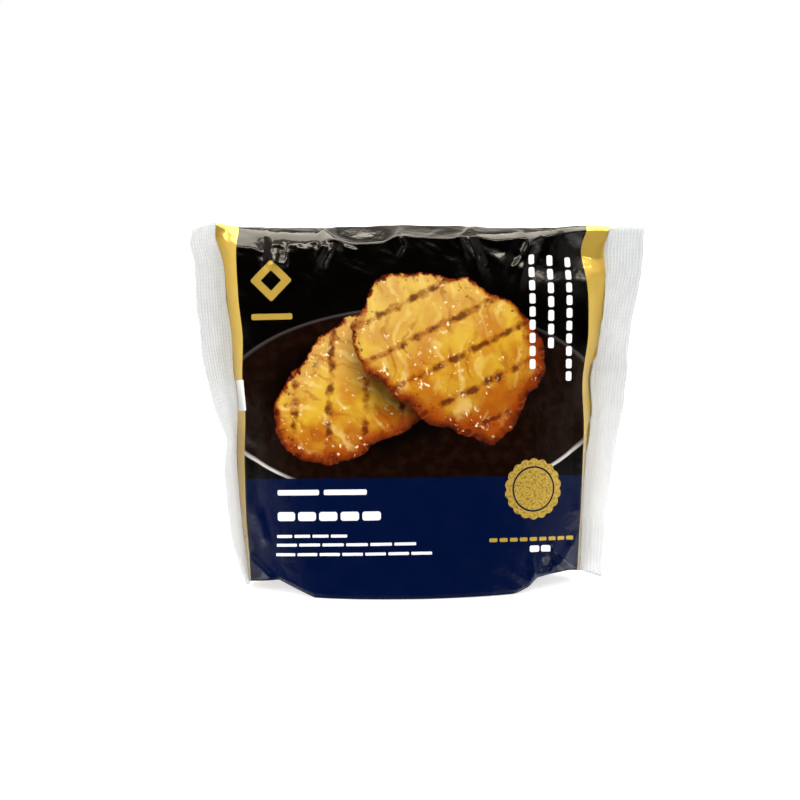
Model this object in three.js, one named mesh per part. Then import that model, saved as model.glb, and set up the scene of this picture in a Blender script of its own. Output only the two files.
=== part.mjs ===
// An onigiri rice ball shut in its printed film pack, as it stands on a shop shelf.
// The pack is one sheet of film wrapped round the rice ball: a front panel, a narrow roof, a back panel with
// a lap seam, and a base panel whose ends tuck up between the panels. A crimped seal closes it at each end.
// The rice ball is thick at its foot, so the seals lean in and fold forward there, and spread at the top.
// Millimetres, +Z up. The origin is on the surface that it stands on, under its middle. The front faces -Y.
import * as THREE from "three";

// Driving dimensions. Widths are measured along the film, from the middle of the front panel.
const PANEL_HALF_WIDTH = 42.8;
const STRIPE_WIDTH = 5.8;
const SEAL_WIDTH = 9.2;
const PACK_HEIGHT = 90;
const BASE_HALF_DEPTH = 16.4;
const TOP_HALF_DEPTH = 7.6;
const SEAL_THICKNESS = 0.6;

// The crimped seals
const CRIMP_RIDGES = 8;
const CRIMP_HEIGHT = 0.22;

// How the ends of the pack turn, as degrees at shares of its height: the stripe beside a seal leans away
// from the front, and the seal itself folds forward
const STRIPE_LEAN = {
  left: [[0, 86], [0.2, 76], [0.42, 71], [0.55, 73], [0.71, 63], [0.8, 54], [0.93, 44], [1, 4]],
  right: [[0, 76], [0.28, 77], [0.43, 71], [0.5, 62], [0.56, 66], [0.78, 44], [0.9, 18], [1, 18]],
};
const SEAL_BEND = {
  left: [[0, 92], [0.08, 79], [0.25, 73], [0.42, 70], [0.5, 56], [0.58, 42], [0.71, 34], [0.8, 38], [1, 48]],
  right: [[0, 64], [0.2, 65], [0.3, 56], [0.41, 48], [0.5, 44], [0.6, 31], [0.68, 38], [0.92, 17], [1, 22]],
};

// How rounded the panels are from side to side, as the power of the curve at the foot and at the top
const FOOT_FULLNESS = 2.5;
const TOP_FULLNESS = 1.8;
const LEAN_BACK_POWER = 1.6;

// The roof: how far it rises from the panels' top edges to the line of its crown
const ROOF_RISE = 2.8;
const ROOF_CROWN = 0.25;
const CROWN_HEIGHT = PACK_HEIGHT - 0.3;

// The base: a flat foot with corners that lift off the surface, as heights at film positions from the middle
// out, a rounded edge, and ends that are tucked up as a gusset
const FOOT_LIFT = {
  left: [[0, 0], [25.5, 0], [34.7, 3.8], [42.8, 2.4], [48.6, 0.7], [57.8, 3]],
  right: [[0, 0], [23.5, 0], [27.9, 1.2], [31.3, 3.7], [39.5, 4], [48.6, 2.5], [57.8, 2.6]],
};
const FOOT_EDGE_RADIUS = 1.4;
const TUCK = { height: 9, starts: 29, full: 42, closes: 43.6, ends: 47.6 };

// The lap seam along the back panel
const LAP = { low: 39, high: 49, edge: 0.4, thickness: 0.45 };

// Pleats that run down from a panel's top edge: where, how far down, how far they slant to the right on the
// way, how proud they stand, how wide they are and how far they lift the edge
const FRONT_PLEATS = [
  { at: -34.5, length: 12, slant: -2, height: 0.9, width: 4.6, lift: 0.1 },
  { at: -21, length: 11, slant: -2.5, height: 0.7, width: 4.4, lift: 1 },
  { at: -3.5, length: 8, slant: 1, height: 0.5, width: 4.4, lift: 2 },
  { at: 13, length: 13, slant: 3.5, height: 1.1, width: 5, lift: 1.6 },
  { at: 29.5, length: 16, slant: -6, height: 0.9, width: 4.6, lift: 0.5 },
];
const BACK_PLEATS = [
  { at: -28, length: 13, slant: 3, height: 0.8, width: 4.8, lift: 0.5 },
  { at: -8, length: 9, slant: -2, height: 0.6, width: 4.4, lift: 1.5 },
  { at: 12, length: 12, slant: 2, height: 0.9, width: 4.8, lift: 1.2 },
  { at: 33, length: 14, slant: -4, height: 0.7, width: 4.6, lift: 0.3 },
];
const PLEAT_REACH = 6;

// The fold that pinches the front panel's lower right corner
const CORNER_PINCH = { at: 31, height: 15, depth: 1.6, width: 5 };

// How finely the film is divided
const PANEL_SPANS = 40;
const STRIPE_SPANS = 2;
const SPANS_PER_RIDGE = 2;
const PANEL_ROWS = 22;
const ROWS_BESIDE_LAP = 10;
const ROWS_ACROSS = 7;
const ROW_CROWDING = 0.09;
const ARC_STEPS = 24;

const STRIPE_EDGE = PANEL_HALF_WIDTH + STRIPE_WIDTH;
const THINNEST = SEAL_THICKNESS / 2;
const { clamp, degToRad, lerp, smoothstep } = THREE.MathUtils;
const sideOf = (u) => (u < 0 ? "left" : "right");

// A smooth curve through [place, value] pairs that never swings past them
function through(pairs, t) {
  const place = clamp(t, pairs[0][0], pairs[pairs.length - 1][0]);
  const i = Math.max(0, pairs.findIndex((pair) => pair[0] >= place) - 1);
  const slope = (k) => {
    const known = clamp(k, 0, pairs.length - 2);
    return (pairs[known + 1][1] - pairs[known][1]) / (pairs[known + 1][0] - pairs[known][0]);
  };
  const tangent = (k) => {
    const [before, after] = [slope(k - 1), slope(k)];
    return before * after <= 0 ? 0 : (2 * before * after) / (before + after);
  };
  const width = pairs[i + 1][0] - pairs[i][0];
  const s = (place - pairs[i][0]) / width;
  const bulge = s * (1 - s) * ((1 - s) * tangent(i) - s * tangent(i + 1)) * width;
  return lerp(pairs[i][1], pairs[i + 1][1], s * s * (3 - 2 * s)) + bulge;
}

// How far the panels stand off the plane of the seals in the middle of the pack
function middleDepth(z) {
  const rise = clamp(z / PACK_HEIGHT, 0, 1);
  return lerp(BASE_HALF_DEPTH, TOP_HALF_DEPTH, Math.pow(rise, LEAN_BACK_POWER));
}

function fullness(z) {
  return lerp(FOOT_FULLNESS, TOP_FULLNESS, clamp(z / PACK_HEIGHT, 0, 1));
}

// How far a stripe's inner edge stands off the plane of the seals
function stripeDepth(z, side) {
  return STRIPE_WIDTH * Math.sin(degToRad(through(STRIPE_LEAN[side], z / PACK_HEIGHT)));
}

// Half the pack's depth at film position u and height z, before its pleats
function halfDepth(u, z) {
  const away = Math.abs(u);
  const edge = Math.max(stripeDepth(z, sideOf(u)), THINNEST);
  if (away > PANEL_HALF_WIDTH) {
    return Math.max(edge * clamp((STRIPE_EDGE - away) / STRIPE_WIDTH, 0, 1), THINNEST);
  }
  return lerp(middleDepth(z), edge, Math.pow(away / PANEL_HALF_WIDTH, fullness(z)));
}

// How far right of the middle film position u lies at height z. Film doesn't stretch, so it draws in where
// the panel bulges.
function reach(u, z) {
  const side = sideOf(u);
  const away = Math.abs(u);
  const power = fullness(z);
  const steepest = ((middleDepth(z) - stripeDepth(z, side)) * power) / PANEL_HALF_WIDTH;
  const step = Math.min(away, PANEL_HALF_WIDTH) / ARC_STEPS;
  let x = 0;
  for (let i = 0; i < ARC_STEPS; i++) {
    const slope = steepest * Math.pow(((i + 0.5) * step) / PANEL_HALF_WIDTH, power - 1);
    x += step * Math.sqrt(1 - slope * slope);
  }
  const lean = degToRad(through(STRIPE_LEAN[side], z / PACK_HEIGHT));
  x += clamp(away - PANEL_HALF_WIDTH, 0, STRIPE_WIDTH) * Math.cos(lean);
  return Math.sign(u) * x;
}

// A point of the film at position u and height z that stands proud of the plane of the seals, negative in
// front. Past the stripe that plane folds forward.
function place(u, z, proud) {
  const past = Math.max(0, Math.abs(u) - STRIPE_EDGE);
  if (past === 0) return new THREE.Vector3(reach(u, z), proud, z);
  const bend = degToRad(through(SEAL_BEND[sideOf(u)], z / PACK_HEIGHT));
  const outward = past * Math.cos(bend) + proud * Math.sin(bend);
  const backward = proud * Math.cos(bend) - past * Math.sin(bend);
  return new THREE.Vector3(reach(u, z) + Math.sign(u) * outward, backward, z);
}

// The height of the edge where a panel meets the roof
function topEdge(u, pleats) {
  const drop = ROOF_RISE * (1 - smoothstep(Math.abs(u), 30, STRIPE_EDGE));
  const lifts = pleats.map((p) => p.lift * (1 - smoothstep(Math.abs(u - p.at), 0, PLEAT_REACH)));
  const lift = lifts.reduce((sum, one) => sum + one, 0);
  return CROWN_HEIGHT - Math.max(0, drop - lift);
}

// A sharp ridge of height 1 and width 1, with a shallow valley on each side
function crease(t) {
  return Math.max(0, 1 - 2 * Math.abs(t)) - 0.35 * Math.max(0, 1 - Math.abs(2 * Math.abs(t) - 1.4));
}

// How proud the pleats stand at film position u, at a distance below the panel's top edge
function pleated(u, below, pleats) {
  let proud = 0;
  for (const p of pleats) {
    const fade = 1 - smoothstep(below / p.length, 0.3, 1);
    proud += p.height * fade * crease((u - p.at - (p.slant * below) / p.length) / p.width);
  }
  return proud * (1 - smoothstep(Math.abs(u), 36, PANEL_HALF_WIDTH));
}

// How deep the pinched corner is drawn in
function pinched(u, z) {
  const nearness = Math.max(0, 1 - Math.abs(u - CORNER_PINCH.at) / CORNER_PINCH.width);
  return CORNER_PINCH.depth * nearness * (1 - smoothstep(z / CORNER_PINCH.height, 0.2, 1));
}

// How far a panel draws in where it turns under into the base
function footRounding(above) {
  const below = clamp(1 - above / FOOT_EDGE_RADIUS, 0, 1);
  return FOOT_EDGE_RADIUS * (1 - Math.sqrt(1 - below * below));
}

// How far a panel stands off the plane of the seals, with all its folds
function panelDepth(u, z, foot, top, pleats) {
  if (Math.abs(u) >= STRIPE_EDGE) return THINNEST;
  const body = halfDepth(u, z) + pleated(u, top - z, pleats);
  const rounding = footRounding(z - foot) * smoothstep(body, SEAL_THICKNESS, 4);
  const pinch = pleats === FRONT_PLEATS ? pinched(u, z) : 0;
  return Math.max(body - rounding - pinch, THINNEST);
}

// The wave of the crimp at film position u
function crimp(u) {
  const ridge = (Math.max(0, Math.abs(u) - STRIPE_EDGE) / SEAL_WIDTH) * CRIMP_RIDGES;
  return CRIMP_HEIGHT * (1 - 4 * Math.abs(ridge - Math.round(ridge))) * Math.min(1, 2 * ridge);
}

// Heights from one to another, closer together near both
function spaced(from, to, count) {
  return Array.from({ length: count }, (_, k) => {
    const t = k / (count - 1);
    return lerp(from, to, t - ROW_CROWDING * Math.sin(2 * Math.PI * t));
  });
}

// Heights up the back panel, with the steps of the lap seam
function backHeights(foot, top) {
  const below = spaced(foot, LAP.low - LAP.edge, ROWS_BESIDE_LAP);
  const above = spaced(LAP.high + LAP.edge, top, ROWS_BESIDE_LAP);
  return [...below, LAP.low, (LAP.low + LAP.high) / 2, LAP.high, ...above];
}

// Places across the roof and the base, from -1 at the front to 1 at the back
const CROSS_SHARES = Array.from({ length: ROWS_ACROSS }, (_, k) => (2 * (k + 1)) / (ROWS_ACROSS + 1) - 1);

// One ring of film at position u: up the front, over the roof, down the back and under the base
function ring(u) {
  const points = [];
  const wave = crimp(u);
  const foot = through(FOOT_LIFT[sideOf(u)], Math.abs(u));
  const topFront = topEdge(u, FRONT_PLEATS);
  const topBack = topEdge(u, BACK_PLEATS);
  const front = (z) => panelDepth(u, z, foot, topFront, FRONT_PLEATS);
  const back = (z) => panelDepth(u, z, foot, topBack, BACK_PLEATS);

  for (const z of spaced(foot, topFront, PANEL_ROWS)) points.push(place(u, z, wave - front(z)));

  for (const t of CROSS_SHARES) {
    const [edge, depth] = t < 0 ? [topFront, front(topFront)] : [topBack, back(topBack)];
    const z = edge + (CROWN_HEIGHT + ROOF_CROWN - edge) * (1 - Math.pow(Math.abs(t), 2.2));
    points.push(place(u, z, wave + t * depth));
  }

  const lapThickness = LAP.thickness * (1 - smoothstep(Math.abs(u), PANEL_HALF_WIDTH, STRIPE_EDGE));
  for (const z of backHeights(foot, topBack).reverse()) {
    const lap = z >= LAP.low && z <= LAP.high ? lapThickness : 0;
    points.push(place(u, z, wave + back(z) + lap));
  }

  const opening = smoothstep(Math.abs(u), TUCK.starts, TUCK.full);
  const closing = smoothstep(Math.abs(u), TUCK.closes, TUCK.ends);
  for (const t of [...CROSS_SHARES].reverse()) {
    const depth = t < 0 ? front(foot) : back(foot);
    const tuck = TUCK.height * opening * (1 - closing) * (1 - Math.abs(t));
    points.push(place(u, foot + tuck, wave + t * depth));
  }
  return points;
}

// Film positions of the rings, from the left seal's outer edge to the right seal's
function stations() {
  const right = [];
  const divide = (from, width, spans) => {
    for (let i = 1; i <= spans; i++) right.push(from + (width * i) / spans);
  };
  divide(0, PANEL_HALF_WIDTH, PANEL_SPANS / 2);
  divide(PANEL_HALF_WIDTH, STRIPE_WIDTH, STRIPE_SPANS);
  divide(STRIPE_EDGE, SEAL_WIDTH, SPANS_PER_RIDGE * CRIMP_RIDGES);
  return [...right.map((u) => -u).reverse(), 0, ...right];
}

// Strips of triangles that close a long thin loop of points, from one end of it to the other
function capStrips(first, around) {
  const strips = [];
  let low = 0;
  let high = around - 1;
  while (high - low > 1) {
    const fromLow = (high - low) % 2 === 1;
    strips.push(fromLow ? [low, low + 1, high] : [low, high - 1, high]);
    if (fromLow) low++;
    else high--;
  }
  return strips.map((corners) => corners.map((corner) => first + corner));
}

// Joins the rings into one closed skin, with a cap on the outer edge of each seal
function filmGeometry() {
  const rings = stations().map(ring);
  const around = rings[0].length;
  const faces = [];
  for (let i = 0; i + 1 < rings.length; i++) {
    for (let j = 0; j < around; j++) {
      const here = i * around + j;
      const above = i * around + ((j + 1) % around);
      faces.push(here, here + around, above, above, here + around, above + around);
    }
  }
  for (const strip of capStrips(0, around)) faces.push(...strip);
  for (const strip of capStrips((rings.length - 1) * around, around)) faces.push(...strip.reverse());

  const geometry = new THREE.BufferGeometry().setFromPoints(rings.flat());
  geometry.setIndex(faces);
  geometry.computeVertexNormals();
  return geometry;
}

const printedFilm = new THREE.MeshStandardMaterial({ color: 0x11142a, roughness: 0.28, metalness: 0 });
const pack = new THREE.Mesh(filmGeometry(), printedFilm);
pack.name = "onigiri_pack";

const model = new THREE.Group();
model.add(pack);

export default model;
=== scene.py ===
"""The looks of an onigiri rice ball in its film pack: the printed film, crimped end seals and a lap seam.

The pack is one sheet of film wrapped round the rice ball. A place on the film is given in millimetres by u,
how far it lies to the right of the front panel's middle, and by its height z. Each piece is a grid that is
wrapped round the pack, with every vertex put where the film lies there.
"""

import math
from functools import partialmethod

import bmesh
import bpy
import numpy as np
from bpy.props import FloatProperty, FloatVectorProperty, PointerProperty
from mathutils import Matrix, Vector


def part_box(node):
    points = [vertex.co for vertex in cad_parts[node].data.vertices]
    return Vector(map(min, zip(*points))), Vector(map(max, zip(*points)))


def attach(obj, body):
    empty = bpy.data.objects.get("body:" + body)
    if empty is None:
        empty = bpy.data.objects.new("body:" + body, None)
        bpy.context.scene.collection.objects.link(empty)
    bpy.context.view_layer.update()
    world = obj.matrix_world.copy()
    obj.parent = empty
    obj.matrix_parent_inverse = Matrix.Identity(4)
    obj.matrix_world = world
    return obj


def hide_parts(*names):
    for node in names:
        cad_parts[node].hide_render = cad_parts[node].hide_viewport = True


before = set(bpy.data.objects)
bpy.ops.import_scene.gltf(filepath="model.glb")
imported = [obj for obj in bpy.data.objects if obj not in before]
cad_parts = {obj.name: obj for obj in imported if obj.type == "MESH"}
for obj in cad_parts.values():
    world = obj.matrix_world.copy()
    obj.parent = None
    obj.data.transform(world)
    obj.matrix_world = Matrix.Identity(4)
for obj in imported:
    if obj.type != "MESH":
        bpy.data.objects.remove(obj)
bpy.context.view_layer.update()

bl_info = {
    "name": "Onigiri Film Pack",
    "version": (1, 0, 0),
    "blender": (4, 5, 0),
    "location": "3D View > Sidebar > Onigiri",
    "description": "Builds the film, seals and studio of a packed rice ball",
    "category": "Add Mesh",
}

MM = 0.001
PACK_NODE = "onigiri_pack"
BODY = "root"
PACK_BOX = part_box(PACK_NODE)

# The UV map named film holds a place on the film: u, and its print height, which runs on round the pack from
# the front's foot over the roof, down the back and under the base. Both are shares of this length.
UV_SPAN = 240
UV_MIDDLE = 0.5
ROOF_STARTS = 89.9
BACK_TOP = 103
BACK_FOOT = 190
BASE_ENDS = 224
# How far the print sinks for each millimetre that the panel lies further back
PRINT_SINKS = 0.2217

# How the ends of the pack turn, as degrees at shares of its height
STRIPE_LEAN_LEFT = (
    (0, 86), (0.2, 76), (0.42, 71), (0.55, 73), (0.71, 63), (0.8, 60), (0.88, 60), (0.91, 57), (0.95, 46),
    (1, 4)
)
STRIPE_LEAN_RIGHT = (
    (0, 76), (0.28, 77), (0.43, 71), (0.5, 62), (0.56, 66), (0.68, 54), (0.795, 46), (0.85, 32), (0.89, 14),
    (0.94, 2), (1, 8)
)
SEAL_BEND_LEFT = (
    (0, 92), (0.08, 76), (0.2, 68), (0.36, 66), (0.44, 70), (0.5, 57), (0.58, 42), (0.71, 35), (0.8, 33),
    (0.84, 30), (0.9, 30), (0.95, 34), (1, 46)
)
SEAL_BEND_RIGHT = (
    (0, 56), (0.2, 56), (0.3, 46), (0.41, 40), (0.5, 37), (0.6, 25), (0.68, 35), (0.92, 16), (1, 15)
)

# How far the stripes wander outwards, in millimetres at shares of the height
WANDER_LEFT = (
    (0, 0.2), (0.1, 0.4), (0.23, 0.85), (0.37, 0.7), (0.51, 0), (0.6, 0.35), (0.71, -0.1), (0.82, 0.6),
    (0.95, 0.85), (1, 0.5)
)
WANDER_RIGHT = (
    (0, 0.2), (0.28, 0.5), (0.46, 0.45), (0.58, -0.3), (0.71, 0.85), (0.8, 0.75), (0.86, 0.4), (0.9, -0.05),
    (0.93, -0.3), (1, 0.85)
)

# Heights of the panels' lower edges, at film positions from the middle out
FOOT_LEFT = ((0, 0), (25.5, 0), (34.7, 3.8), (42.8, 2.4), (48.6, 0.7), (57.8, 3))
FOOT_RIGHT = ((0, 0), (23.5, 0), (27.9, 1.2), (31.3, 3.7), (39.5, 4), (48.6, 2.5), (57.8, 2.6))

# Heights, at film positions, of the front panel's upper edge and of the pack's highest line, and how full
# the roof's curve is
FRONT_TOP = (
    (-57.8, 89.7), (-48.6, 91.4), (-42.5, 89.4), (-38.8, 88.7), (-34.6, 88.2), (-29.6, 87.7), (-24.5, 87.9),
    (-20.6, 88.7), (-14.5, 87.5), (-8.2, 87.8), (-3.8, 89.6), (0.4, 89.1), (8.7, 88.6), (11.6, 89),
    (14.1, 88.9), (20.2, 87.7), (24.6, 87.9), (29.5, 87.8), (36.4, 88.5), (42.7, 89.1), (48.6, 89.7),
    (57.8, 89.7)
)
CROWN = (
    (-57.8, 91.2), (-53, 91.7), (-49, 91.9), (-45, 91), (-42, 90.4), (-30, 90.3), (-15, 90.2), (-3, 90.5),
    (4, 90.2), (14, 90.1), (20, 89.7), (34, 89.7), (42, 90), (48.6, 89.9), (57.8, 90.1)
)
ROOF_FULLNESS = ((-57.8, 3), (-22, 3), (-18, 1.15), (11, 1.15), (16, 3), (57.8, 3))

# Pleats that run down from a panel's top edge: film position, length, slant to the right on the way down,
# height, width and how far they lift the edge
FRONT_PLEATS = (
    (-34.5, 12, -2, 0.9, 4.6, 0.1),
    (-21, 11, -2.5, 0.7, 4.4, 1),
    (-3.5, 8, 1, 0.5, 4.4, 2),
    (13, 13, 3.5, 1.1, 5, 1.6),
    (29.5, 16, -6, 0.9, 4.6, 0.5),
)
BACK_PLEATS = (
    (-28, 13, 3, 0.8, 4.8, 0.5),
    (-8, 9, -2, 0.6, 4.4, 1.5),
    (12, 12, 2, 0.9, 4.8, 1.2),
    (33, 14, -4, 0.7, 4.6, 0.3),
)

# Creases of the panels: start and end on the film, height, and the width of the left and the right slope
FRONT_CREASES = (
    (-43.2, 87.2, -40.6, 86.3, 0.26, 0.5, 1.6), (-40.9, 86.1, -39.2, 86.7, 0.2, 0.45, 0.9),
    (-39.4, 86.6, -37.2, 85.2, 0.26, 0.5, 1.4), (-41.5, 88.2, -36.8, 81.5, 0.4, 2.5, 3),
    (-35.2, 83, -30.9, 82.2, 1.2, 3.6, 0.8), (-30.8, 87.4, -31.3, 82.9, 0.4, 0.5, 0.6),
    (-32.6, 81.4, -31.5, 80.9, 0.2, 0.4, 0.6), (-28.6, 86.8, -25.6, 85.8, 0.24, 0.5, 2),
    (-24.3, 84.4, -22.6, 87.4, 0.4, 1.4, 0.6), (-19.9, 87.4, -22.6, 82.6, 0.5, 0.9, 0.5),
    (-23.2, 82.4, -21.6, 82.2, 0.2, 0.4, 0.8), (-17.5, 87, -14, 85.8, 0.24, 0.5, 2.2),
    (-3.6, 89.4, -2.6, 87.2, 0.5, 0.5, 0.6), (-2.6, 87.2, -4.4, 84.2, 0.5, 0.6, 0.5),
    (12.4, 89.2, 14.8, 84.9, 0.9, 0.7, 0.8), (14.8, 84.9, 17.6, 82, 0.6, 1.2, 1),
    (14.2, 84.9, 16, 84.3, 0.5, 0.8, 0.6), (18, 82, 27, 81, 0.6, 4.5, 5),
    (28.8, 87.8, 26.6, 83.8, 0.6, 0.5, 0.9), (26.6, 83.8, 23.6, 80.4, 0.4, 0.6, 0.6),
    (27.9, 86.8, 29.5, 87.4, 0.24, 0.5, 0.6), (-43.4, 9.6, -36.2, 3.4, 0.8, 1.6, 4.5),
    (-41, 22, -38.5, 13, 0.5, 2.2, 2.4), (29.3, 9, 30, 4.2, 0.6, 0.5, 1.6),
    (31.8, 6.8, 34.6, 6.4, -1.1, 2.2, 2), (34, 11.5, 41, 5.5, 1.2, 3, 2),
    (36, 6, 42, 12.5, 0.8, 2, 3),
)
ROOF_CREASES = (
    (-38, -4, -33, 3, 0.6, 1.6, 1.2), (-24.5, -7, -19.5, 3, 0.9, 1.2, 1.6),
    (-19.5, -7, -25, 1, 0.7, 1, 1.2), (-4, -7, -2.6, 3, 0.7, 1, 1),
    (3, -7, 7, 0, 0.5, 1.4, 2), (11, -7, 16.5, 3, 1, 1.4, 1.2),
    (15.5, -6.2, 24, -6.4, 0.8, 2.2, 0.8), (26, -2, 29, -7, 0.8, 1.2, 1.6),
    (29.5, -6, 38, -1, 0.7, 1.6, 1.2),
)
BACK_CREASES = (
    (-36, 87, -33, 77, 0.8, 2, 1.4), (-14, 87.5, -17, 78, 0.7, 1.4, 2.2),
    (4, 88, 6.5, 80, 0.8, 1.2, 2), (25, 87.5, 22, 77.5, 0.8, 2.2, 1.4),
    (38, 86, 33.5, 79, 0.7, 1.4, 2), (-41, 14, -33, 4, 0.9, 2, 1.4),
    (-20, 11, -24, 3, 0.6, 1.4, 2), (22, 12, 26, 3, 0.7, 1.6, 1.4),
    (41, 15, 34, 5, 0.9, 1.4, 2.2),
)

# Print of the front panel, in millimetres of film: across from its middle and up from its foot. A box of
# print is its left, right, lower and upper edge.
BAND_TOP = 30.8
STRIPE_STARTS = 42.8
# Middle and half sizes of the plate
PLATE = (-1, 49, 49, 23.5)
# Middle, turn, half sizes and seed of each grilled slice
SLICES = ((-14.5, 52.5, 0.62, 22.5, 14, 1), (8, 61.5, -0.45, 24, 16.5, 2))
# Middle, length, thickness and dashes of each column
WHITE_COLUMNS = ((28.9, 70.9, 27.9, 1.5, 9), (33.7, 73.3, 22.6, 1.5, 7), (38.5, 69, 30.1, 1.5, 10))
# Box, dashes and the gap between dashes of each row
WHITE_BARS = (
    (-34.8, -12.4, 26.8, 28.1, 2, 1.2),
    (-34.9, -9, 20.4, 22.6, 5, 0.8),
    (-35.2, -17.3, 16.2, 16.9, 4, 0.6),
    (-35.3, -0.4, 14, 14.7, 6, 0.6),
    (-35.5, 3.5, 11.6, 12.3, 7, 0.6),
    (28.4, 34.2, 11.6, 13.2, 2, 0.5),
)
GOLD_BAR = (17.8, 41, 14.4, 15.3)
EMBLEM_BAR = (-40.2, -30.2, 69.8, 71.2)
OPENING = (-47.9, -42.5, 47.8, 55.4)
# Middle, and radius or half size
MEDAL = (29.4, 27.4, 7.6)
DIAMOND = (-35.2, 79.2, 3.6)

# Boxes of print on the back panel, as it is seen from behind
BACK_LABEL = (-36, 37, 52, 80)
BACK_BARS = (
    (-33, -4, 75.5, 77), (-33, 33, 71.5, 72.3), (-33, 33, 68.5, 69.3), (-33, 27, 65.5, 66.3),
    (-33, 33, 62.5, 63.3), (-33, 12, 59.5, 60.3), (-33, 20, 55.5, 56.3)
)
BACK_PALE_BARS = ((-30, 30, 21.5, 22.6), (-30, 18, 17.8, 18.7), (-30, 24, 14.6, 15.5), (8, 30, 9, 11.5))

# From one bar to the next of those that cross the fine ridges of the seals
CROSS_PITCH = 0.95

# Radius of the panels' lower edges
FOOT_RADIUS = 1.4

# Thickness of the seals and of the film body's thin ends, and how far those ends reach into the seals
SEAL_THICKNESS = 0.34
EDGE_THICKNESS = 0.24
OVERLAP = 0.4

# Studio lights: place, what they face, width and height in metres, and watts. The soft ones never show in
# the film. The glints only show as reflections.
SOFT_LIGHTS = {
    "Key": ((-0.35, -1, 0.6), (0, 0, 0.04), (1.2, 0.9), 11),
    "Left": ((-1, -0.35, 0), (0, 0, 0.04), (0.8, 0.8), 10.5),
    "Right": ((1, -0.35, 0), (0, 0, 0.04), (0.8, 0.8), 12),
    "Top": ((0, 0.5, 0.75), (0, 0, 0.08), (0.9, 0.5), 5),
}
GLINTS = {
    "Strip": ((-0.1, -0.7, 0.75), (0, 0, 0.08), (1.6, 0.1), 9, (1, 0.91, 0.75)),
    "Ceiling": ((0, 0.27, 1), (0, 0.27, 0), (1.6, 1.15), 42, (1, 0.915, 0.77)),
}

# The camera's turn and tilt in degrees, what it faces and how far off it is, and how wide it sees there
CAMERA_TURN = -4
CAMERA_TILT = 12.5
CAMERA_FACES = (0, 0, 0.045)
CAMERA_DISTANCE = 0.7
VIEW_WIDTH = 0.1985
CAMERA_SHIFT = (-0.0165, 0.0095)

ARC_STEPS = 24
PANEL_ROWS = 140
ROOF_ROWS = 24
BASE_ROWS = 30
BODY_COLUMNS = 281
SEAL_COLUMNS = 150
SEAL_ROWS = 80
SEAM_COLUMNS = 221
SEAM_ROWS = 12


def through(pairs, t):
    """A smooth curve through (place, value) pairs that never swings past them."""
    places, values = np.array(pairs, float).T
    slopes = np.diff(values) / np.diff(places)
    tangents = np.zeros(len(values))
    inner = slopes[:-1] * slopes[1:] > 0
    tangents[1:-1][inner] = 2 * (slopes[:-1] * slopes[1:])[inner] / (slopes[:-1] + slopes[1:])[inner]
    tangents[0], tangents[-1] = slopes[0], slopes[-1]
    place = np.clip(t, places[0], places[-1])
    i = np.clip(np.searchsorted(places, place) - 1, 0, len(slopes) - 1)
    width = places[i + 1] - places[i]
    s = (place - places[i]) / width
    bulge = s * (1 - s) * ((1 - s) * tangents[i] - s * tangents[i + 1]) * width
    rise = s * s * (3 - 2 * s)
    return values[i] * (1 - rise) + values[i + 1] * rise + bulge


def smooth(low, high, x):
    t = np.clip((x - low) / (high - low), 0, 1)
    return t * t * (3 - 2 * t)


def mix(a, b, share):
    return a + (b - a) * share


def random_table(seed):
    """Random heights from -1 to 1, in a pattern that repeats after 64 cells."""
    return np.random.default_rng(seed).uniform(-1, 1, (64, 64))


def cell(table, a, b):
    """The table's values at the corners of each place's cell, and how far across and up the cell it is."""
    i, j = np.floor(a).astype(int), np.floor(b).astype(int)
    corners = [table[(i + right) % len(table), (j + up) % len(table)] for up in (0, 1) for right in (0, 1)]
    return corners, a - i, b - j


def waves(x, y, size, seed):
    """A soft height from -1 to 1 whose bumps are about that size."""
    (near, right, above, far), p, q = cell(random_table(seed), x / size, y / size)
    p, q = smooth(0, 1, p), smooth(0, 1, q)
    return mix(mix(near, right, p), mix(above, far, p), q)


def facets(x, y, size, seed):
    """A crumpled height from -1 to 1, made of flat triangles about that size."""
    table = random_table(seed)
    across = x + size * 0.35 * waves(x, y, size * 2.3, seed + 1)
    up = y + size * 0.35 * waves(x, y, size * 2.3, seed + 2)
    (near, right, above, far), p, q = cell(table, (across + up * 0.577) / size, up * 1.155 / size)
    lower = near * (1 - p - q) + right * p + above * q
    upper = far * (p + q - 1) + above * (1 - p) + right * (1 - q)
    return np.where(p + q < 1, lower, upper)


def crease(t):
    """A sharp fold across a width of 1, with a shallow valley on each side of it."""
    away = np.abs(t)
    return np.maximum(0, 1 - 2 * away) - 0.35 * np.maximum(0, 1 - np.abs(2 * away - 1.4))


def along(u, z, line):
    """Height of a ridge along a line of film: start, end, height, and the width of each of its slopes."""
    u0, z0, u1, z1, height, left, right = line
    length = math.hypot(u1 - u0, z1 - z0)
    du, dz = (u1 - u0) / length, (z1 - z0) / length
    share = ((u - u0) * du + (z - z0) * dz) / length
    aside = (u - u0) * dz - (z - z0) * du
    slope = np.where(aside < 0, 1 + aside / left, 1 - aside / right)
    return height * np.clip(slope, 0, 1) * smooth(-0.12, 0.18, share) * (1 - smooth(0.8, 1.12, share))


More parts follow.
